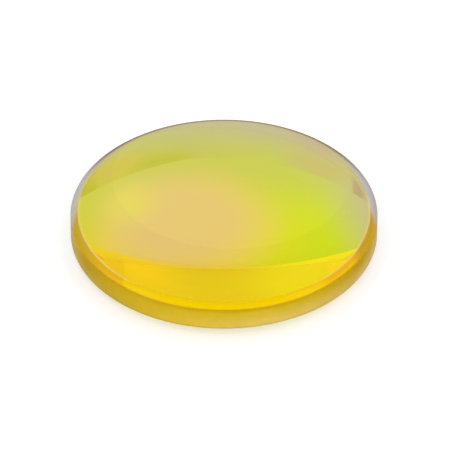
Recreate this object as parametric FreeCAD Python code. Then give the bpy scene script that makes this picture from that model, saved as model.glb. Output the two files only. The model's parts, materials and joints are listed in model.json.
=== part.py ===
# A biconvex lens, ground and polished from one blank of infrared crystal.
# Lengths are in millimetres. +Z is the optical axis, and the origin is the middle of the lens:
# on the axis, halfway between the two faces.
import FreeCAD, Part
import math
import os

# Sizes that can each be set by themselves
lens_diameter = 25.4
edge_land = 1.9
bevel_width = 0.65
bevel_height = 0.3
face_radius = 141.5

# What the crystal is, used only for the printed check of focal length and weight
index_at_working_wavelength = 2.403
density_g_per_cm3 = 5.27

# The axis that the lens is turned about
middle = FreeCAD.Vector(0, 0, 0)
optical_axis = FreeCAD.Vector(0, 0, 1)


def point(radius, height):
    """A point of the half section: its distance from the optical axis, and its height."""
    return FreeCAD.Vector(radius, 0, height)


def face_sag(radius):
    """How far a face has dropped below its vertex at this distance from the axis."""
    return face_radius - math.sqrt(face_radius**2 - radius**2)


def line(start, end):
    """A straight edge of the half section."""
    return Part.LineSegment(start, end).toShape()


# The edge is a cylinder. Each face starts inside it, where the bevel ends.
edge_radius = lens_diameter / 2
polished_radius = edge_radius - bevel_width
land_half = edge_land / 2
rim_height = land_half + bevel_height
vertex_height = rim_height + face_sag(polished_radius)


def face_arc(side):
    """One polished face in section, from the rim to the vertex. side is 1 for the upper face, -1 for the lower."""
    halfway_radius = polished_radius / 2
    halfway_height = vertex_height - face_sag(halfway_radius)
    rim = point(polished_radius, side * rim_height)
    halfway = point(halfway_radius, side * halfway_height)
    vertex = point(0, side * vertex_height)
    return Part.Arc(rim, halfway, vertex).toShape()


def bevel_line(side):
    """The ground bevel in section, from the edge of the cylinder to the rim of the polished face."""
    edge_corner = point(edge_radius, side * land_half)
    face_rim = point(polished_radius, side * rim_height)
    return line(edge_corner, face_rim)


def half_section():
    """The closed outline of half the lens: up the edge, over the bevel and face, and down the axis."""
    edge_line = line(point(edge_radius, -land_half), point(edge_radius, land_half))
    axis_line = line(point(0, vertex_height), point(0, -vertex_height))
    outline = [
        edge_line,
        bevel_line(1),
        face_arc(1),
        axis_line,
        face_arc(-1),
        bevel_line(-1),
    ]
    return Part.Wire(outline)


def make_lens():
    """The half section turned once round the optical axis."""
    section = Part.Face(half_section())
    return section.revolve(middle, optical_axis, 360)


def focal_length():
    """The thick-lens focal length of two equal faces, in air."""
    power_factor = index_at_working_wavelength - 1
    centre_thickness = 2 * vertex_height
    thickness_term = power_factor * centre_thickness / (index_at_working_wavelength * face_radius**2)
    return 1 / (power_factor * (2 / face_radius - thickness_term))


lens = make_lens()

os.makedirs("parts", exist_ok=True)
lens.exportStep("parts/lens.step")

volume_cm3 = lens.Volume / 1000
print("valid solid:", lens.isValid(), "with", len(lens.Faces), "faces")
print("centre thickness:", round(2 * vertex_height, 3), "mm")
print("thickness at the rim of the faces:", round(2 * rim_height, 3), "mm")
print("focal length at the working wavelength:", round(focal_length(), 2), "mm")
print("volume:", round(volume_cm3, 4), "cm3, weight:", round(volume_cm3 * density_g_per_cm3, 2), "g")
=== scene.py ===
# %% [markdown]
# # A biconvex infrared lens
# The real object is one piece of golden yellow crystal, ground and polished to two shallow domes,
# with a fine-ground edge and a narrow bevel between the edge and each dome. A coating thinner than
# dust is grown on both faces. It is clear and heavy, and it bends light far more than window glass.
#
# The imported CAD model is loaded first. It fixes the sizes and the place of everything that follows.

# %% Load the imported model
import json
import math

import bpy
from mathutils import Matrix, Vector


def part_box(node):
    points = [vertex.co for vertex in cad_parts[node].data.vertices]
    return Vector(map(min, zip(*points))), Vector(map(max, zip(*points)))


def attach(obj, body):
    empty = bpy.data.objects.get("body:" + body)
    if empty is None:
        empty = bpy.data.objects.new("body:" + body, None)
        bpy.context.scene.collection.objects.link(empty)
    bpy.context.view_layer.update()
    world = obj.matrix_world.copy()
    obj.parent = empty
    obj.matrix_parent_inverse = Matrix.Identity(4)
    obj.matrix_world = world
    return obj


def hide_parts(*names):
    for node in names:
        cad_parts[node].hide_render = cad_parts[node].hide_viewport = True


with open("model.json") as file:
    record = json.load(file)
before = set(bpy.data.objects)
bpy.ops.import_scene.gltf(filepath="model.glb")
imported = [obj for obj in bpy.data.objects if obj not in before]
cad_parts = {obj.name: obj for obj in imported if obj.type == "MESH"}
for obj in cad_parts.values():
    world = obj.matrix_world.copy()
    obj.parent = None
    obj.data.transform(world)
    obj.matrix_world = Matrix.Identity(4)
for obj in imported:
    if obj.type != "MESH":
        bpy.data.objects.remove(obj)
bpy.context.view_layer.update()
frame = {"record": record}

# %% [markdown]
# ## The sizes
# The diameter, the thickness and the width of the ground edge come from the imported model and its
# record. The bevel is too small to be read from a box, so its two sizes are repeated here. The
# radius of the faces follows from the rest: a face is a piece of a sphere that rises by a known
# height over a known half width.

# %% Read the sizes and work out the face radius
MM = 0.001
LOWEST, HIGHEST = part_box("lens")
RIM_MOUNT = frame["record"]["mounts"][0]["dims"]

edge_radius = (HIGHEST[0] - LOWEST[0]) / 2
vertex_height = HIGHEST[2]
edge_land = RIM_MOUNT["length_mm"] * MM
bevel_width = 0.65 * MM
bevel_height = 0.3 * MM

face_half_width = edge_radius - bevel_width
rim_height = edge_land / 2 + bevel_height
face_rise = vertex_height - rim_height
face_radius = (face_half_width**2 + face_rise**2) / (2 * face_rise)
print("face radius:", round(face_radius / MM, 2), "mm, rise:", round(face_rise / MM, 3), "mm")

# %% [markdown]
# ## Two helpers for building nodes
# Long formulas are hard to read as dozens of loose nodes. Here a small class stands for one value
# in a node tree, and ordinary Python arithmetic on it adds the Math nodes. Any other node comes
# from one method, which sets the node's own options first and then its sockets.

# %% A value in a node tree, and a maker of nodes
class Value:
    """One socket's value. Arithmetic on it adds Math nodes to its tree."""

    def __init__(self, maker, socket):
        self.maker = maker
        self.socket = socket

    def math(self, operation, *others):
        sockets = dict(enumerate((self,) + others))
        return self.maker.value("ShaderNodeMath", {"operation": operation}, sockets)

    def __add__(self, other):
        return self.math("ADD", other)

    def __radd__(self, other):
        return self.math("ADD", other)

    def __sub__(self, other):
        return self.math("SUBTRACT", other)

    def __rsub__(self, other):
        return self.maker.constant(other) - self

    def __mul__(self, other):
        return self.math("MULTIPLY", other)

    def __rmul__(self, other):
        return self.math("MULTIPLY", other)

    def __truediv__(self, other):
        return self.math("DIVIDE", other)

    def __rtruediv__(self, other):
        return self.maker.constant(other) / self

    def __pow__(self, other):
        return self.math("POWER", other)

    def root(self):
        return self.math("SQRT")

    def size(self):
        return self.math("ABSOLUTE")

    def above(self, limit):
        return self.math("GREATER_THAN", limit)

    def below(self, limit):
        return self.math("LESS_THAN", limit)

    def step(self, start, end):
        """0 before start, 1 after end, and a smooth ramp between them."""
        settings = {"interpolation_type": "SMOOTHSTEP"}
        sockets = {0: self, 1: start, 2: end}
        return self.maker.value("ShaderNodeMapRange", settings, sockets)


# the Mix node has sockets for numbers, vectors and colours; these are the ones for colours
FIRST_COLOUR, SECOND_COLOUR, MIXED_COLOUR = 6, 7, 2


class Maker:
    """Makes nodes in one tree."""

    def __init__(self, tree):
        self.tree = tree

    def node(self, kind, settings=None, sockets=None):
        made = self.tree.nodes.new(kind)
        for name, setting in (settings or {}).items():
            setattr(made, name, setting)
        for key, value in (sockets or {}).items():
            if isinstance(value, Value):
                self.tree.links.new(value.socket, made.inputs[key])
            else:
                made.inputs[key].default_value = value
        return made

    def value(self, kind, settings=None, sockets=None, output=0):
        return Value(self, self.node(kind, settings, sockets).outputs[output])

    def constant(self, number):
        return self.value("ShaderNodeMath", {"operation": "ADD"}, {0: number, 1: 0.0})

    def mix(self, amount, first, second):
        """A colour that goes from first to second as amount goes from 0 to 1."""
        sockets = {0: amount, FIRST_COLOUR: first, SECOND_COLOUR: second}
        return self.value("ShaderNodeMix", {"data_type": "RGBA"}, sockets, output=MIXED_COLOUR)

    def times(self, first, second):
        """Two colours or vectors, multiplied part by part."""
        return self.value("ShaderNodeVectorMath", {"operation": "MULTIPLY"}, {0: first, 1: second})

    def blend(self, amount, first, second):
        """A shader that goes from first to second as amount goes from 0 to 1."""
        return self.value("ShaderNodeMixShader", None, {0: amount, 1: first, 2: second})


# %% [markdown]
# ## The lens body
# A lens is the most regular shape there is: every section through its axis is the same. It could
# be made with Spin, or from a sphere that is scaled and cut, but those leave uneven faces where
# light is bent, and the pattern of the mesh then shows in the crystal. Geometry Nodes turn one
# half section round the axis instead, so each size stays a named input, and the rings on the
# faces lie exactly on a sphere.
#
# The half section has eight points: vertex, shoulder, face rim and edge corner, above and below.
# The four sharp ones are rounded a little, as fine grinding leaves them.

# %% Name the lathe's inputs
PROFILE_CORNERS = 8
FIRST_SHARP, LAST_SHARP = 2, 5
LATHE_INPUTS = {
    "Edge Radius": edge_radius,
    "Half Land": edge_land / 2,
    "Face Half Width": face_half_width,
    "Rim Height": rim_height,
    "Face Radius": face_radius,
    "Shoulder": 0.4 * MM,
    "Corner Round": 0.035 * MM,
    "Corner Steps": 5,
    "Face Rings": 96,
    "Turns": 256,
}


def new_lathe_tree():
    """An empty Geometry Nodes tree with one input for each size."""
    tree = bpy.data.node_groups.new("lens lathe", "GeometryNodeTree")
    tree.interface.new_socket("Geometry", in_out="INPUT", socket_type="NodeSocketGeometry")
    for name, value in LATHE_INPUTS.items():
        kind = "NodeSocketInt" if isinstance(value, int) else "NodeSocketFloat"
        tree.interface.new_socket(name, in_out="INPUT", socket_type=kind)
    tree.interface.new_socket("Material", in_out="INPUT", socket_type="NodeSocketMaterial")
    tree.interface.new_socket("Geometry", in_out="OUTPUT", socket_type="NodeSocketGeometry")
    return tree


# %% Draw the half section
def draw_profile(make, sizes):
    """A curve from the upper vertex to the lower one, with its corners rounded."""
    def corner(radius, height):
        return make.value("ShaderNodeCombineXYZ", None, {"X": radius, "Z": height})

    def sphere_height(radius):
        """How high the upper face is at this distance from the axis."""
        centre = sizes["Rim Height"] - (sizes["Face Radius"] ** 2 - sizes["Face Half Width"] ** 2).root()
        return centre + (sizes["Face Radius"] ** 2 - radius * radius).root()

    shoulder = sizes["Face Half Width"] - sizes["Shoulder"]
    radii = [make.constant(0.0), shoulder, sizes["Face Half Width"], sizes["Edge Radius"]]
    heights = [sphere_height(radii[0]), sphere_height(shoulder), sizes["Rim Height"], sizes["Half Land"]]
    upper = list(zip(radii, heights))
    lower = [(radius, 0.0 - height) for radius, height in reversed(upper)]

    index = make.value("GeometryNodeInputIndex")
    line = make.value("GeometryNodeMeshLine", None, {"Count": PROFILE_CORNERS})
    choose = make.node("GeometryNodeIndexSwitch", {"data_type": "VECTOR"}, {"Index": index})
    while len(choose.index_switch_items) < PROFILE_CORNERS:
        choose.index_switch_items.new()
    for place, (radius, height) in enumerate(upper + lower):
        make.tree.links.new(corner(radius, height).socket, choose.inputs[str(place)])
    chosen = Value(make, choose.outputs[0])
    placed = make.value("GeometryNodeSetPosition", None, {"Geometry": line, "Position": chosen})
    curve = make.value("GeometryNodeMeshToCurve", None, {"Mesh": placed})
    sharp = index.above(FIRST_SHARP - 0.5) * index.below(LAST_SHARP + 0.5)
    rounding = {"Curve": curve, "Count": sizes["Corner Steps"], "Radius": sharp * sizes["Corner Round"]}
    return make.value("GeometryNodeFilletCurve", {"mode": "POLY"}, rounding), sphere_height, shoulder


# %% Add the rings of the faces
SLACK = 0.0001 * MM


def add_rings(make, sizes, profile, sphere_height, shoulder):
    """Divides the two face runs, and lifts their points on to the sphere."""
    index = make.value("GeometryNodeInputIndex")
    points = make.value("GeometryNodeAttributeDomainSize", {"component": "CURVE"}, {"Geometry": profile})
    on_face_run = index.below(0.5) + (index - points + 2.0).size().below(0.5)
    cuts = on_face_run * sizes["Face Rings"]
    divided = make.value("GeometryNodeSubdivideCurve", None, {"Curve": profile, "Cuts": cuts})

    position = make.value("GeometryNodeInputPosition")
    split = make.node("ShaderNodeSeparateXYZ", None, {0: position})
    radius, height = Value(make, split.outputs["X"]), Value(make, split.outputs["Z"])
    lifted = sphere_height(radius) * height.math("SIGN")
    place = make.value("ShaderNodeCombineXYZ", None, {"X": radius, "Z": lifted})
    inside = radius.below(shoulder + SLACK)
    sockets = {"Geometry": divided, "Selection": inside, "Position": place}
    return make.value("GeometryNodeSetPosition", None, sockets)


# %% Turn the section into a closed body
MERGE_WITHIN = 0.0002 * MM


def turn_profile(make, sizes, profile):
    """A grid with one row for each profile point, bent round the axis and closed."""
    points = make.value("GeometryNodeAttributeDomainSize", {"component": "CURVE"}, {"Geometry": profile})
    columns = sizes["Turns"] + 1.0
    grid = make.value("GeometryNodeMeshGrid", None, {"Vertices X": points, "Vertices Y": columns})
    index = make.value("GeometryNodeInputIndex")
    row = (index / columns).math("FLOOR")
    column = index - row * columns
    position = make.value("GeometryNodeInputPosition")
    source = {"Geometry": profile, "Value": position, "Index": row}
    sampled = make.value("GeometryNodeSampleIndex", {"data_type": "FLOAT_VECTOR"}, source)
    angle = column / sizes["Turns"] * math.tau
    settings = {"rotation_type": "Z_AXIS"}
    turned = make.value("ShaderNodeVectorRotate", settings, {"Vector": sampled, "Angle": angle})
    bent = make.value("GeometryNodeSetPosition", None, {"Geometry": grid, "Position": turned})
    return make.value("GeometryNodeMergeByDistance", None, {"Geometry": bent, "Distance": MERGE_WITHIN})


# %% Smooth it, and end the tree
SHARPEST_SMOOTH_FOLD = math.radians(2.5)


def build_lathe():
    """The whole lathe tree, from the named inputs to a plain mesh with its material."""
    tree = new_lathe_tree()
    make = Maker(tree)
    inputs = make.node("NodeGroupInput")
    sizes = {name: Value(make, inputs.outputs[name]) for name in LATHE_INPUTS}
    profile, sphere_height, shoulder = draw_profile(make, sizes)
    profile = add_rings(make, sizes, profile, sphere_height, shoulder)
    body = turn_profile(make, sizes, profile)
    sockets = {"Geometry": body, "Shade Smooth": True}
    smooth = make.value("GeometryNodeSetShadeSmooth", {"domain": "FACE"}, sockets)
    fold = make.value("GeometryNodeInputMeshEdgeAngle").above(SHARPEST_SMOOTH_FOLD)
    creased = {"Geometry": smooth, "Selection": fold, "Shade Smooth": False}
    crisp = make.value("GeometryNodeSetShadeSmooth", {"domain": "EDGE"}, creased)
    real = make.value("GeometryNodeRealizeInstances", None, {"Geometry": crisp})
    material = Value(make, inputs.outputs["Material"])
    finished = make.value("GeometryNodeSetMaterial", None, {"Geometry": real, "Material": material})
    make.node("NodeGroupOutput", None, {"Geometry": finished})
    print("lathe tree:", len(tree.nodes), "nodes")
    return tree


# %% [markdown]
# ## Places on the lens
# All finishes of the lens belong to one solid, so one material has to know where on the lens it
# is. Object coordinates give that. They are turned into millimetres here once, with the distance
# from the optical axis and from the middle plane, and each finish below reads them.

# %% Say where a point of the surface is
class Spot:
    """A point of the lens surface in millimetres, as values in a material's tree."""

    def __init__(self, make):
        self.make = make
        self.coordinates = make.value("ShaderNodeTexCoord", output="Object")
        split = make.node("ShaderNodeSeparateXYZ", None, {0: self.coordinates})
        self.x, self.y, self.z = (Value(make, split.outputs[axis]) / MM for axis in "XYZ")
        self.sideways = self.x.size()
        self.from_axis = (self.x * self.x + self.y * self.y).root()
        self.flat = make.times(self.coordinates, (1 / MM, 1 / MM, 0.0))
        self.from_inside = make.value("ShaderNodeNewGeometry", output="Backfacing")


# %% [markdown]
# ## The colours of the coating, with painted shade and glow
# The olive and grey at the back are partly painted shade: the paper under the lens lies in its shadow, and
# that darkness is laid into the film's colours over their own tints.
# The colours that a film lets through depend on its thickness and on the angle of the light. In
# the photograph they drift across the face: pink and peach left of the middle, green on the right,
# olive and grey at the back, clear gold in front. They could be one image, but then they would be
# as coarse as its pixels. Here each drift is one soft oval in millimetres, laid over the ones
# before it, so any of them can be moved or recoloured by its row. Their places and colours were
# fitted to the photograph and then adjusted, so they suit its light and not every room.
#
# Each drift stays inside a part of the face. The front is where the lower face mirrors, and the
# back lies beyond the upper arc, which is flatter on the left and so is drawn from two circles.
# The wings are two slim areas behind the front, at the sides. The photograph is golden there, and
# a lens of this curve doesn't mirror there yet, so the film gets a painted golden glow there to make up for
# it.

# %% List the drifts of colour
FILM_COLOUR = (0.59, 0.60, 0.19)
FILM_TINTS_AND_PAINTED_LIGHT = [
    # name, part, right, back, half width, half depth, turn, softness, share of light let through
    ("right green", "middle", 6.2, -4.1, 6.4, 8.6, -45, 0.54, (0.61, 0.76, 0.00)),
    ("peach", "middle", -8.0, -8.5, 14.5, 7.3, 34, 0.43, (0.83, 0.69, 0.01)),
    ("peach heart", "middle", -3.3, -2.1, 6.1, 6.4, -66, 0.52, (0.78, 0.57, 0.48)),
    ("left yellow", "any", -8.1, 0.6, 1.9, 2.4, -21, 0.95, (0.79, 0.67, 0.28)),
    ("left rim green", "middle", -16.0, -13.6, 2.7, 20.0, -13, 0.95, (0.65, 0.66, 0.06)),
    ("right rim grey", "middle", 14.4, -2.9, 3.2, 20.0, 21, 0.95, (0.57, 0.52, 0.58)),
    ("right inner green", "middle", 4.8, 13.5, 3.8, 10.3, 5, 0.91, (0.56, 0.61, 0.21)),
    # painted shade: the back rows are darker, for the paper in the lens's shadow seen through it
    ("back", "back", -13.7, 13.2, 12.0, 4.7, -26, 0.51, (0.51, 0.55, 0.40)),
    ("back rim", "back", 7.1, 12.8, 19.2, 3.8, -8, 0.95, (0.54, 0.47, 0.63)),
    ("back right rose", "back", 9.6, 15.4, 2.8, 7.6, -10, 0.86, (0.57, 0.40, 0.59)),
    ("back left gold", "back", -6.0, 3.0, 4.6, 4.1, 62, 0.94, (0.61, 0.54, 0.06)),
    ("back left olive", "back left", -10.3, 2.4, 11.4, 1.9, 56, 0.32, (0.53, 0.52, 0.03)),
    ("back right brown", "back right", 10.1, 3.5, 1.0, 2.8, 25, 0.19, (0.50, 0.39, 0.39)),
    ("front base", "front", 0.0, 0.0, 30.0, 30.0, 0, 0.30, (0.84, 0.83, 0.22)),
    ("front left gold", "front", -6.7, -7.2, 3.1, 1.8, -42, 0.95, (1.00, 0.88, 0.22)),
    ("front right gold", "front", 6.5, -7.3, 9.4, 4.5, -21, 0.49, (0.90, 1.01, 0.22)),
    ("front middle", "front", -1.5, -4.3, 5.2, 3.7, -34, 0.68, (0.77, 0.60, 0.22)),
    ("front far left", "front left", 0.0, 0.0, 30.0, 30.0, 0, 0.30, (0.88, 0.80, 0.22)),
    ("front far right", "front right", 0.0, 0.0, 30.0, 30.0, 0, 0.30, (0.98, 1.05, 0.22)),
    # painted glow: the wing rows put the gold of held light where this lens holds none
    ("wing left", "wing", -10.1, -5.7, 6.9, 4.7, 9, 0.60, (0.91, 0.67, 0.01)),
    ("wing right", "wing", 12.3, -4.6, 11.6, 5.6, -11, 0.55, (0.88, 0.86, 0.00)),
    # more back rows, darker with painted shade
    ("back left rim green", "back", -9.0, 7.7, 3.7, 0.8, 45, 0.93, (0.57, 0.56, 0.30)),
    ("back right far rose", "back", 7.9, 5.6, 2.6, 1.3, -35, 0.95, (0.59, 0.52, 0.34)),
    ("back left patch", "back", -9.0, 5.5, 2.5, 1.1, 45, 0.60, (0.64, 0.545, 0.16)),
    ("back middle olive", "back", -5.1, 6.0, 2.2, 1.2, 23, 0.64, (0.53, 0.53, 0.10)),
    # more painted glow in the wings
    ("wing right glow", "wing", 7.4, -6.9, 3.6, 0.7, 12, 0.95, (0.98, 0.88, 0.00)),
    ("wing far left", "wing left", 0.0, 0.0, 30.0, 30.0, 0, 0.30, (0.87, 0.66, 0.01)),
    ("wing far right", "wing right", 0.0, 0.0, 30.0, 30.0, 0, 0.30, (0.92, 0.87, 0.00)),
]
print("drifts of colour:", len(FILM_TINTS_AND_PAINTED_LIGHT))

# %% Draw the circles that the colours stop at
# Each is right, back and radius, in millimetres. The golden line is where this lens starts to
# mirror, and the wing line is the border of the gold that the photograph shows.
BACK_ARC_LEFT = (2.63, -14.4, 21.7)
BACK_ARC_RIGHT = (-1.01, -11.04, 17.75)
GOLDEN_LINE = (0.0, 25.0, 32.94)
WING_LINE = (0.3, 13.7, 21.5)
LINE_SOFTNESS = 0.1


def beyond(spot, circle):
    """0 inside a circle that is given by its centre and radius, and 1 outside it."""
    right, back, radius = circle
    sockets = {0: spot.flat, 1: (right, back, 0.0)}
    away = spot.make.value("ShaderNodeVectorMath", {"operation": "DISTANCE"}, sockets, output="Value")
    return away.step(radius - LINE_SOFTNESS, radius + LINE_SOFTNESS)


# %% Divide the face into parts
# each pair is where a part begins and where it is complete, from left to right
LEFT_END = (-8.1, -8.3)
RIGHT_END = (8.45, 8.65)
BACK_LEFT_END = (-10.3, -10.8)
BACK_RIGHT_END = (10.5, 10.9)
BACK_RIGHT_HALF = (-7.0, -3.0)


def face_parts(spot):
    """Where each part of the face is: 1 in the part and 0 outside it."""
    front = beyond(spot, GOLDEN_LINE)
    back = beyond(spot, BACK_ARC_LEFT).math("MAXIMUM", beyond(spot, BACK_ARC_RIGHT))
    middle = 1 - front
    wing = beyond(spot, WING_LINE) * middle
    left = spot.x.step(*LEFT_END)
    right = spot.x.step(*RIGHT_END)
    return {
        "middle": middle,
        "front": front,
        "front left": front * left,
        "front right": front * right,
        "wing": wing,
        "wing left": wing * left,
        "wing right": wing * right,
        "back": back,
        "back left": back * spot.x.step(*BACK_LEFT_END),
        "back right": back * spot.x.step(*BACK_RIGHT_END),
        "back right half": back * spot.x.step(*BACK_RIGHT_HALF),
    }


# %% [markdown]
# ## Painted mirror images in the coating
# A few borders in the photograph are thin and crisp: a large round one in the middle, one in the
# gold, two thin lines along the back rim, and the arc that the back begins at. They look like
# mirror images of the rims, and they are painted reflections laid into the film's colour. Each row
# changes the light between two circles about the same centre.
# Where the inner radius is below zero, that is the whole inside of the outer circle.

# %% List the painted rim reflections
PAINTED_RIM_REFLECTIONS = [
    # part, right, back, inner radius, outer radius, change of the light between the two
    ("middle", 0.6, 4.4, -1.0, 9.9, (1.03, 1.04, 1.02)),
    ("front", -0.2, -1.1, -1.0, 9.35, (0.97, 0.99, 0.95)),
    ("back", -1.6, -2.9, 13.95, 14.2, (0.98, 0.97, 0.96)),
    ("back right half", -1.6, -2.9, 14.1, 30.0, (0.985, 0.99, 1.04)),
    ("back", 0.0, 0.0, 11.8, 30.0, (0.985, 0.96, 0.97)),
    ("back", -1.01, -11.04, 17.75, 19.6, (0.998, 0.993, 0.985)),
    ("middle", -1.01, -11.04, 16.6, 17.75, (1.005, 1.006, 1.0)),
]
print("rings:", len(PAINTED_RIM_REFLECTIONS))

# %% [markdown]
# ## Laying the colours over each other
# Mapping turns a place into the oval's own measure, in which the oval is a circle of radius 1, and
# Vector Math gives the distance from its middle. The clear shader takes the square root of its
# colour each time that light crosses a surface, so the result is squared at the end.

# %% Lay the drifts and rings over each other
def drift_amount(spot, place, size, turn, softness):
    """1 in the middle of a soft oval, and 0 outside it."""
    oval = spot.make.value("ShaderNodeMapping", {"vector_type": "TEXTURE"}, {
        "Vector": spot.flat,
        "Location": place + (0.0,),
        "Rotation": (0.0, 0.0, math.radians(turn)),
        "Scale": size + (1.0,),
    })
    reach = spot.make.value("ShaderNodeVectorMath", {"operation": "LENGTH"}, {0: oval}, output="Value")
    return reach.step(1.0 + softness, 1.0 - softness)


def film_colour(spot):
    """What the film lets through at each place, with the painted shade, glow and reflections laid into it, as
    a colour to give to a clear shader.
    """
    make = spot.make
    parts = face_parts(spot)
    through = FILM_COLOUR + (1.0,)
    for name, part, right, back, half_width, half_depth, turn, softness, colour in FILM_TINTS_AND_PAINTED_LIGHT:
        amount = drift_amount(spot, (right, back), (half_width, half_depth), turn, softness)
        if part in parts:
            amount = amount * parts[part]
        through = make.mix(amount, through, colour + (1.0,))
    for part, right, back, inner, outer, change in PAINTED_RIM_REFLECTIONS:
        past_inner = beyond(spot, (right, back, inner))
        past_outer = beyond(spot, (right, back, outer))
        between = (past_inner - past_outer) * parts[part]
        through = make.mix(between, through, make.times(through, change))
    return make.times(through, through)


# %% [markdown]
# ## The crystal
# Zinc selenide lets orange and red light through, holds back blue, and bends light so strongly
# that a ray inside it can't leave at more than about 23 degrees from straight. Most of the golden
# glow in the front of the lens is light that is held in that way and has crossed the crystal
# several times. So the solid has a real absorption inside, at the density at which a few
# millimetres look yellow. The tints of the film and of the ground surfaces are painted on top.

# %% Make the inside of the crystal
CRYSTAL_INDEX = 2.61
ABSORPTION_COLOUR = (0.997, 0.967, 0.0, 1.0)
ABSORPTION_PER_METRE = 300.0


def absorption(make):
    return make.value("ShaderNodeVolumeAbsorption", None, {
        "Color": ABSORPTION_COLOUR,
        "Density": ABSORPTION_PER_METRE,
    })


# %% [markdown]
# ## The polished faces
# A polished face is as smooth as glass gets. In the photograph the coated faces mirror the room
# far more weakly than bare crystal would, and Specular Tint scales that mirror image down. The
# film's colour is given to light that enters from outside only. Light
# that comes from within has mostly passed the film already, and tinting it again would draw dark
# arcs in the gold.

# %% Make the polished faces
WHITE = (1.0, 1.0, 1.0, 1.0)
FACE_REFLECTION = (0.12, 0.12, 0.0, 1.0)


def face_shader(spot):
    make = spot.make
    return make.value("ShaderNodeBsdfPrincipled", None, {
        "Base Color": make.mix(spot.from_inside, film_colour(spot), WHITE),
        "Roughness": 0.0,
        "IOR": CRYSTAL_INDEX,
        "Transmission Weight": 1.0,
        "Specular Tint": FACE_REFLECTION,
    })


# %% [markdown]
# ## The bevels
# A bevel is finely ground, so it is satin: some light goes through it and glows golden in front,
# and some is scattered by its fine pits. The two are separate shaders here, clear crystal and
# haze, and what share each has depends on the place and on how flat the surface is looked at,
# which Layer Weight gives. Scattered light has come through other parts of the lens before, which
# isn't worked out here: the haze is painted as the photograph shows it, gold in front, grey at the
# sides and brown along the back.

# %% Make the clear share of the bevels
# painted light and shade: the clear share is bright gold in front and darker aside and far out
CLEAR_IN_FRONT = (1.0, 0.845, 0.03, 1.0)
CLEAR_ASIDE = (0.66, 0.455, 0.045, 1.0)
CLEAR_FAR_OUT = (0.34, 0.32, 0.09, 1.0)
BEVEL_REFLECTION = (0.2, 0.2, 0.1, 1.0)
CLEAR_ASIDE_LEFT = (8.1, 8.4)
CLEAR_ASIDE_RIGHT = (7.0, 10.0)
CLEAR_FAR_RANGE = (9.0, 12.4)


def clear_bevel(spot):
    make = spot.make
    aside = (0.0 - spot.x).step(*CLEAR_ASIDE_LEFT) + spot.x.step(*CLEAR_ASIDE_RIGHT)
    near = make.mix(aside, CLEAR_IN_FRONT, CLEAR_ASIDE)
    return make.value("ShaderNodeBsdfPrincipled", None, {
        "Base Color": make.mix(spot.sideways.step(*CLEAR_FAR_RANGE), near, CLEAR_FAR_OUT),
        "Roughness": 0.06,
        "IOR": CRYSTAL_INDEX,
        "Transmission Weight": 1.0,
        "Specular Tint": BEVEL_REFLECTION,
    })


# %% Colour the haze at the sides and the back
# each pair is the colour at the inner and at the outer rim of a bevel
LEFT_HAZE = (0.62, 0.61, 0.38, 1.0), (0.53, 0.52, 0.55, 1.0)
RIGHT_HAZE = (0.56, 0.565, 0.66, 1.0), (0.48, 0.44, 0.48, 1.0)
BACK_HAZE = (0.55, 0.47, 0.33, 1.0), (0.22, 0.16, 0.13, 1.0)

# each pair is where a change begins and where it is complete, in millimetres
LEFT_TO_RIGHT = (-12.0, 12.0)
SIDE_OUTER_PART = (12.15, 12.6)
BACK_OUTER_PART = (12.15, 12.4)
SIDE_TO_BACK = (3.5, 9.0)


def haze_behind(spot):
    """The haze behind the front: grey at the sides, and brown along the back."""
    make = spot.make
    rightness = spot.x.step(*LEFT_TO_RIGHT)
    side_inner = make.mix(rightness, LEFT_HAZE[0], RIGHT_HAZE[0])
    side_outer = make.mix(rightness, LEFT_HAZE[1], RIGHT_HAZE[1])
    side = make.mix(spot.from_axis.step(*SIDE_OUTER_PART), side_inner, side_outer)
    back = make.mix(spot.from_axis.step(*BACK_OUTER_PART), *BACK_HAZE)
    return make.mix(spot.y.step(*SIDE_TO_BACK), side, back)


# %% Colour the haze in front
# the golds at the inner and at the outer rim, for the middle and for each side, near and far out
MIDDLE_GOLD = (0.97, 0.59, 0.0, 1.0), (1.0, 0.69, 0.0, 1.0)
LEFT_NEAR = (0.86, 0.50, 0.012, 1.0), (0.98, 0.57, 0.012, 1.0)
LEFT_FAR = (0.61, 0.42, 0.035, 1.0), (0.61, 0.39, 0.022, 1.0)
RIGHT_NEAR = (0.97, 0.50, 0.008, 1.0), (1.0, 0.61, 0.006, 1.0)
RIGHT_FAR = (0.62, 0.34, 0.024, 1.0), (0.64, 0.37, 0.022, 1.0)
# painted shade: the thin brown line where a bevel meets the edge
CORNER_SHADE_COLOUR = (0.66, 0.36, 0.015, 1.0)

# where they change, in millimetres
OUTER_GOLD = (12.1, 12.3)
WIDER_INNER_BY = 0.2
WIDER_FROM = (7.5, 9.0)
LEFT_BEGINS = (8.1, 8.35)
LEFT_GETS_FAR = (8.8, 12.3)
RIGHT_BEGINS = (7.5, 9.0)
RIGHT_GETS_FAR = (10.4, 11.4)
BORDER = (12.57, 12.66)
BORDER_WIDER_BY = 0.02
BORDER_WIDER_FROM = (0.0, 6.0)


def haze_in_front(spot):
    """Gold that is brightest in the middle, with a thin brown line of painted shade along the edge."""
    make = spot.make
    leftward = 0.0 - spot.x
    outer = (spot.from_axis - spot.sideways.step(*WIDER_FROM) * WIDER_INNER_BY).step(*OUTER_GOLD)
    middle = make.mix(outer, *MIDDLE_GOLD)
    left = make.mix(leftward.step(*LEFT_GETS_FAR), make.mix(outer, *LEFT_NEAR), make.mix(outer, *LEFT_FAR))
    right = make.mix(spot.x.step(*RIGHT_GETS_FAR), make.mix(outer, *RIGHT_NEAR), make.mix(outer, *RIGHT_FAR))
    gold = make.mix(leftward.step(*LEFT_BEGINS), middle, left)
    gold = make.mix(spot.x.step(*RIGHT_BEGINS), gold, right)
    border = (spot.from_axis + leftward.step(*BORDER_WIDER_FROM) * BORDER_WIDER_BY).step(*BORDER)
    return make.mix(border, gold, CORNER_SHADE_COLOUR)


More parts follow.
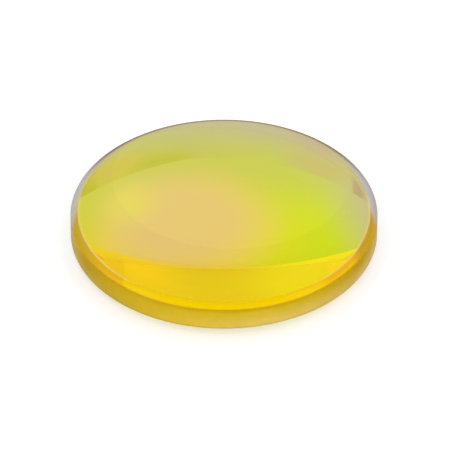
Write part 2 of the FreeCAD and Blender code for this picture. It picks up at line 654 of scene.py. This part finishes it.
# %% Mix the two shares of the bevels
BEVEL_MIDDLE = (edge_radius - bevel_width / 2) / MM
GOLD_BEGINS = (-0.3, -2.2)
GOLD_REACHES_BACK = 4.0
GOLD_PIVOT = 12.5
SIDELONG_RANGE = (0.37, 0.46)
MORE_TO_RIGHT = 0.0013
MORE_OUTWARD = 0.08
BACK_SHARE = 0.85
FRONT_SHARE = 0.6
SIDE_SHARE = 0.25
FRONT_BEGINS = (1.5, 0.0)
SIDES_BEGIN = (7.0, 8.5)


def haze_colour(spot):
    """The colour of the scattered light all round a bevel."""
    forward = (spot.y + (spot.from_axis - GOLD_PIVOT) * GOLD_REACHES_BACK).step(*GOLD_BEGINS)
    return spot.make.mix(forward, haze_behind(spot), haze_in_front(spot))


def haze_share(spot):
    """How much of a bevel's light is scattered."""
    sidelong = spot.make.value("ShaderNodeLayerWeight", None, {"Blend": 0.5}, output="Facing")
    turned = sidelong + spot.x * MORE_TO_RIGHT + (spot.from_axis - BEVEL_MIDDLE) * MORE_OUTWARD
    back = turned.step(*SIDELONG_RANGE) * BACK_SHARE
    sides = spot.sideways.step(*SIDES_BEGIN) * SIDE_SHARE
    front = spot.y.step(*FRONT_BEGINS) * (sides + FRONT_SHARE)
    return back.math("MAXIMUM", front)


def bevel_shader(spot):
    make = spot.make
    haze = make.value("ShaderNodeBsdfPrincipled", None, {
        "Base Color": haze_colour(spot),
        "Roughness": 0.4,
        "Specular IOR Level": 0.0,
    })
    return make.blend(haze_share(spot), clear_bevel(spot), haze)


# %% [markdown]
# ## The ground edge
# The cylinder of the edge is ground with a coarser grit than the bevels and looks like frosted
# amber. A fine noise stands for the grit: it varies the roughness, darkens some grains and bumps
# the surface as if by a few hundredths of a millimetre. Most light goes into the edge, so it takes
# its depth from the crystal behind it. Its colours carry painted light and shade, set as the
# photograph shows them: darker along the top and at the sides, lighter at the foot, with a line
# of painted shade along the top under the bevel. The index here is almost that of air, as a
# stand-in for pits that let light in from all sides.

# %% Make the ground edge
# each pair is the colour on the left and on the right
TOP_MIDDLE = (0.55, 0.44, 0.17, 1.0), (0.58, 0.48, 0.18, 1.0)
FOOT_MIDDLE = (0.68, 0.50, 0.25, 1.0), (0.76, 0.62, 1.00, 1.0)
FOOT_SIDES = (0.40, 0.29, 0.22, 1.0), (0.58, 0.42, 0.72, 1.0)
TOP_SIDES = (0.42, 0.27, 0.10, 1.0)
# painted shade along the top of the edge, under the bevel
EDGE_TOP_SHADE = (0.45, 0.28, 0.05, 1.0)
GRAIN_COLOUR = (0.2, 0.15, 0.0, 1.0)
EDGE_REFLECTION = (0.6, 0.55, 0.4, 1.0)

# each pair is where a change begins and where it is complete, in millimetres
EDGE_LEFT_TO_RIGHT = (-6.0, 6.0)
EDGE_MIDDLE_TO_SIDE = (2.0, 12.0)
EDGE_TOP_TO_FOOT = (0.7, -0.8)
EDGE_SHADE_HEIGHT = (0.5, 0.95)

GRAINS_PER_MM = 0.9
GRAIN_RANGE = (0.35, 0.65)
GRAIN_SHARE = 0.12
GRAIN_HEIGHT = 0.03 * MM
SMOOTHEST = 0.2
ROUGHER_BY = 0.25


def edge_shader(spot):
    make = spot.make
    grain = make.value("ShaderNodeTexNoise", None, {
        "Vector": spot.coordinates,
        "Scale": GRAINS_PER_MM / MM,
        "Detail": 4.0,
        "Roughness": 0.65,
    })
    aside = spot.sideways.step(*EDGE_MIDDLE_TO_SIDE)
    rightness = spot.x.step(*EDGE_LEFT_TO_RIGHT)
    top = make.mix(aside, make.mix(rightness, *TOP_MIDDLE), TOP_SIDES)
    foot = make.mix(aside, make.mix(rightness, *FOOT_MIDDLE), make.mix(rightness, *FOOT_SIDES))
    body = make.mix(spot.z.step(*EDGE_TOP_TO_FOOT), top, foot)
    body = make.mix(spot.z.step(*EDGE_SHADE_HEIGHT), body, EDGE_TOP_SHADE)
    lifted = make.value("ShaderNodeBump", None, {"Strength": 0.25, "Distance": GRAIN_HEIGHT, "Height": grain})
    return make.value("ShaderNodeBsdfPrincipled", None, {
        "Base Color": make.mix(grain.step(*GRAIN_RANGE) * GRAIN_SHARE, body, GRAIN_COLOUR),
        "Roughness": grain * ROUGHER_BY + SMOOTHEST,
        "IOR": 1.05,
        "Transmission Weight": 0.85,
        "Specular IOR Level": 0.0,
        "Specular Tint": EDGE_REFLECTION,
        "Normal": lifted,
    })


# %% [markdown]
# ## Ground surfaces from within
# A smooth surface would mirror nearly all light that meets it from inside such a crystal, and the
# rim would show dark wedges. Real ground surfaces have pits at every angle, so light gets through.
# The photograph shows no wedges either. Seen from inside, bevels and edge get a rough shader of a
# low index.

# %% Make the ground surfaces' inner side
def open_ground(make):
    return make.value("ShaderNodeBsdfPrincipled", None, {
        "Base Color": WHITE,
        "Roughness": 0.35,
        "IOR": 1.2,
        "Transmission Weight": 1.0,
    })


# %% [markdown]
# ## The painted rim highlight
# Where a polished face meets its bevel, the sharp corner catches the light in a hair-thin pale
# line, and this highlight is painted on. In the photograph it shows at the sides of the front,
# and fades towards the middle and the back.

# %% Make the painted rim highlight
RIM_HIGHLIGHT_COLOUR = (1.0, 0.78, 0.24, 1.0)
LINE_ACROSS = (11.91, 12.0), (12.17, 12.08)
LINE_UPPER = (0.0, 0.1)
LINE_SIDES = (6.5, 9.8)
LINE_FRONT = (3.0, 0.5)
RIM_HIGHLIGHT_SHARE = 0.45


def line_share(spot):
    across = spot.from_axis.step(*LINE_ACROSS[0]) * spot.from_axis.step(*LINE_ACROSS[1])
    along = spot.sideways.step(*LINE_SIDES) * spot.y.step(*LINE_FRONT)
    outside = spot.z.step(*LINE_UPPER) * (1 - spot.from_inside)
    return across * along * outside * RIM_HIGHLIGHT_SHARE


def line_shader(make):
    return make.value("ShaderNodeBsdfPrincipled", None, {"Base Color": RIM_HIGHLIGHT_COLOUR, "Roughness": 0.5})


# %% [markdown]
# ## One material for the whole lens
# The parts meet at the same radii and heights as the shapes do, so a finish ends exactly where its
# surface ends.

# %% Put the finishes together
MEETING_SOFTNESS = 0.02


def crystal_material():
    """Clear yellow crystal with coated faces, satin bevels and a ground edge."""
    material = bpy.data.materials.new("coated crystal")
    material.use_nodes = True
    tree = material.node_tree
    tree.nodes.clear()
    make = Maker(tree)
    spot = Spot(make)
    face_end = face_half_width / MM
    edge_end = edge_land / 2 / MM
    past_face = spot.from_axis.step(face_end - MEETING_SOFTNESS, face_end + MEETING_SOFTNESS)
    on_edge = spot.z.size().step(edge_end + MEETING_SOFTNESS, edge_end - MEETING_SOFTNESS)
    ground = make.blend(on_edge, bevel_shader(spot), edge_shader(spot))
    both_sides = make.blend(spot.from_inside, ground, open_ground(make))
    surface = make.blend(past_face, face_shader(spot), both_sides)
    highlighted = make.blend(line_share(spot), surface, line_shader(make))
    make.node("ShaderNodeOutputMaterial", None, {"Surface": highlighted, "Volume": absorption(make)})
    print("crystal material:", len(tree.nodes), "nodes")
    return material


# %% [markdown]
# ## The finished lens
# A modifier would be worked out again on every change and isn't exported, so the lathe runs once
# here and its result is kept as a plain mesh. The lens rides on the part's only body and stands
# in for the CAD solid, which stays for collision.

# %% Make the lens
def make_lens():
    """Runs the lathe once, and keeps its result as a plain mesh."""
    start = bpy.data.meshes.new("lens start")
    lens = bpy.data.objects.new("lens_crystal", start)
    bpy.context.scene.collection.objects.link(lens)
    lathe = lens.modifiers.new("lathe", "NODES")
    tree = build_lathe()
    lathe.node_group = tree
    values = dict(LATHE_INPUTS, Material=crystal_material())
    for item in tree.interface.items_tree:
        if item.in_out == "INPUT" and item.name in values:
            lathe[item.identifier] = values[item.name]
    evaluated = lens.evaluated_get(bpy.context.evaluated_depsgraph_get())
    lens.data = bpy.data.meshes.new_from_object(evaluated)
    lens.modifiers.remove(lathe)
    return lens


lens_crystal = make_lens()
mesh = lens_crystal.data
print("lens mesh:", len(mesh.vertices), "points,", len(mesh.polygons), "faces")
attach(lens_crystal, "root")
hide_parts("lens")

# %% [markdown]
# ## The camera
# The photograph shows the lens from a good third of the way up and with little perspective, so
# the camera stands far away, thirty times the lens diameter, and has a long focal length. Its
# elevation and scale were fitted to the outline of the lens in the photograph.

# %% Place the camera
IMAGE_SIZE = 449
ELEVATION = math.radians(38.56)
DISTANCE = 0.762
PIXELS_PER_MM = 12.08
SENSOR = 36.0

# where the middle of the lens lies in the photograph, in pixels from its centre
LENS_RIGHT_OF_CENTRE = -0.53
LENS_BELOW_CENTRE = -1.58

back = Vector((0.0, -math.cos(ELEVATION), math.sin(ELEVATION)))
right = Vector((1.0, 0.0, 0.0))
up = Vector((0.0, math.sin(ELEVATION), math.cos(ELEVATION)))
pixel = MM / PIXELS_PER_MM
aim = (up * LENS_BELOW_CENTRE - right * LENS_RIGHT_OF_CENTRE) * pixel

camera_data = bpy.data.cameras.new("camera")
camera_data.sensor_width = SENSOR
camera_data.lens = SENSOR * DISTANCE / (IMAGE_SIZE * pixel)
camera = bpy.data.objects.new("camera", camera_data)
camera.location = aim + back * DISTANCE
camera.rotation_mode = "QUATERNION"
camera.rotation_quaternion = (-back).to_track_quat("-Z", "Y")
bpy.context.scene.collection.objects.link(camera)
bpy.context.scene.camera = camera
print("camera lens:", round(camera_data.lens, 2), "mm")

# %% [markdown]
# ## Floor, surroundings and light
# The lens lies on white paper in a bright, even studio. Clear crystal shows what is around it, so
# there are no lamps that would mirror as hard spots: the whole room gives the light. The paper is
# an ordinary pale grey that catches the shadow of the lens. For the camera it also glows a little,
# which makes it white without more light on the lens, and to rays that come through the crystal
# it is plain white.

# %% Make the floor
FLOOR_SIZE = 1.2
FLOOR_GLOW = 0.45
FLOOR_COLOUR = (0.8, 0.8, 0.8, 1.0)


def floor_material():
    """White paper that keeps the shadow of the lens."""
    material = bpy.data.materials.new("white paper")
    material.use_nodes = True
    tree = material.node_tree
    tree.nodes.clear()
    make = Maker(tree)
    rays = make.node("ShaderNodeLightPath")
    camera_ray, glossy_ray, clear_ray = (
        Value(make, rays.outputs[name]) for name in ("Is Camera Ray", "Is Glossy Ray", "Is Transmission Ray"))
    through_lens = (glossy_ray + clear_ray).math("MINIMUM", 1.0)
    paper = make.value("ShaderNodeBsdfDiffuse", None, {"Color": FLOOR_COLOUR})
    glow = make.value("ShaderNodeEmission", None, {"Color": WHITE, "Strength": camera_ray * FLOOR_GLOW})
    plain = make.value("ShaderNodeEmission", None, {"Color": WHITE, "Strength": 1.0})
    both = make.value("ShaderNodeAddShader", None, {0: paper, 1: glow})
    make.node("ShaderNodeOutputMaterial", None, {"Surface": make.blend(through_lens, both, plain)})
    return material


def make_floor():
    """One square of paper that the lower vertex of the lens touches."""
    half = FLOOR_SIZE / 2
    height = LOWEST[2]
    corners = [(-half, -half, height), (half, -half, height), (half, half, height), (-half, half, height)]
    data = bpy.data.meshes.new("floor")
    data.from_pydata(corners, [], [(0, 1, 2, 3)])
    data.materials.append(floor_material())
    floor = bpy.data.objects.new("floor", data)
    bpy.context.scene.collection.objects.link(floor)
    return floor


make_floor()

# %% [markdown]
# ## The room
# The room is white all round and darker straight overhead, so that surfaces that face upward get
# about a tenth less light. The camera sees it as white everywhere.

# %% Surround it with an even white room
WORLD_LEVEL = 1.0
DARKER = (0.2, 0.2, 0.2, 1.0)
DARKER_FROM = math.radians(66)
DARKER_TO = math.radians(74)


def make_world():
    """An even white room that lights the lens from all sides."""
    world = bpy.data.worlds.new("studio")
    world.use_nodes = True
    tree = world.node_tree
    tree.nodes.clear()
    make = Maker(tree)
    direction = make.value("ShaderNodeTexCoord", output="Generated")
    split = make.node("ShaderNodeSeparateXYZ", None, {0: direction})
    height = Value(make, split.outputs["Z"])
    camera_ray = make.value("ShaderNodeLightPath", output="Is Camera Ray")
    overhead = height.step(math.sin(DARKER_FROM), math.sin(DARKER_TO))
    colour = make.mix(camera_ray, make.mix(overhead, WHITE, DARKER), WHITE)
    sky = make.value("ShaderNodeBackground", None, {"Color": colour, "Strength": WORLD_LEVEL})
    make.node("ShaderNodeOutputWorld", None, {"Surface": sky})
    bpy.context.scene.world = world


make_world()

# %% [markdown]
# ## Following the light
# Light that is held in the crystal meets its surfaces many times before it gets out. Blender's
# usual limits would cut some of those paths short, so the limits are raised.

# %% Let light be followed through the crystal
MOST_BOUNCES = 24
MOST_MIRRORINGS = 16
MOST_CROSSINGS = 20

scene = bpy.context.scene
scene.view_settings.view_transform = "Standard"
scene.cycles.max_bounces = MOST_BOUNCES
scene.cycles.glossy_bounces = MOST_MIRRORINGS
scene.cycles.transmission_bounces = MOST_CROSSINGS
print("light is followed for", MOST_BOUNCES, "bounces")
